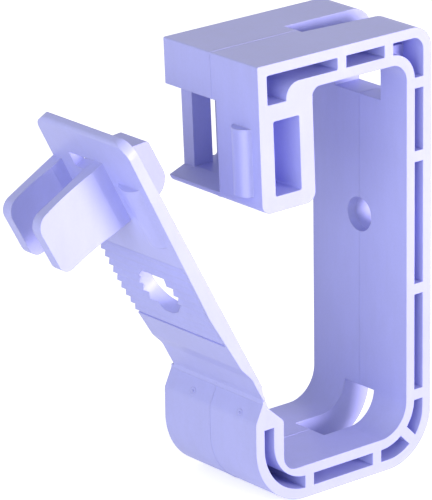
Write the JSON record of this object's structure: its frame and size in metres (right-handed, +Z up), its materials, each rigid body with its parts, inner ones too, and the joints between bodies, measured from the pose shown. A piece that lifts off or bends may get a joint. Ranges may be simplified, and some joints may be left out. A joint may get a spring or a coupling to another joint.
{
  "type": "cable bundle holder",
  "caption": "Lavender plastic cable bundle holder: a C-shaped wall frame with a film-hinged gate that stands open, two finger tabs and a snap hook",
  "frame": {"origin": "on the screw's axis, at the seat of its head on the inner face of the back wall", "axes": "+Z up, +X into the wall, +Y along the bundle from the pictured side to the far side"},
  "size_m": [0.0837, 0.0264, 0.0854],
  "materials": {
    "body_plastic": "satin moulded lavender plastic"
  },
  "bodies": {
    "frame": {"holder_frame": "body_plastic"},
    "gate": {"gate": "body_plastic"}
  },
  "joints": [
    {"name": "gate_hinge", "type": "hinge", "parent": "frame", "child": "gate", "pos_m": [-0.03502, 0, -0.02445], "axis": [0, 1, 0], "range_deg": [-60, 26.8], "stiffness_Nm_per_rad": 0.02}
  ]
}
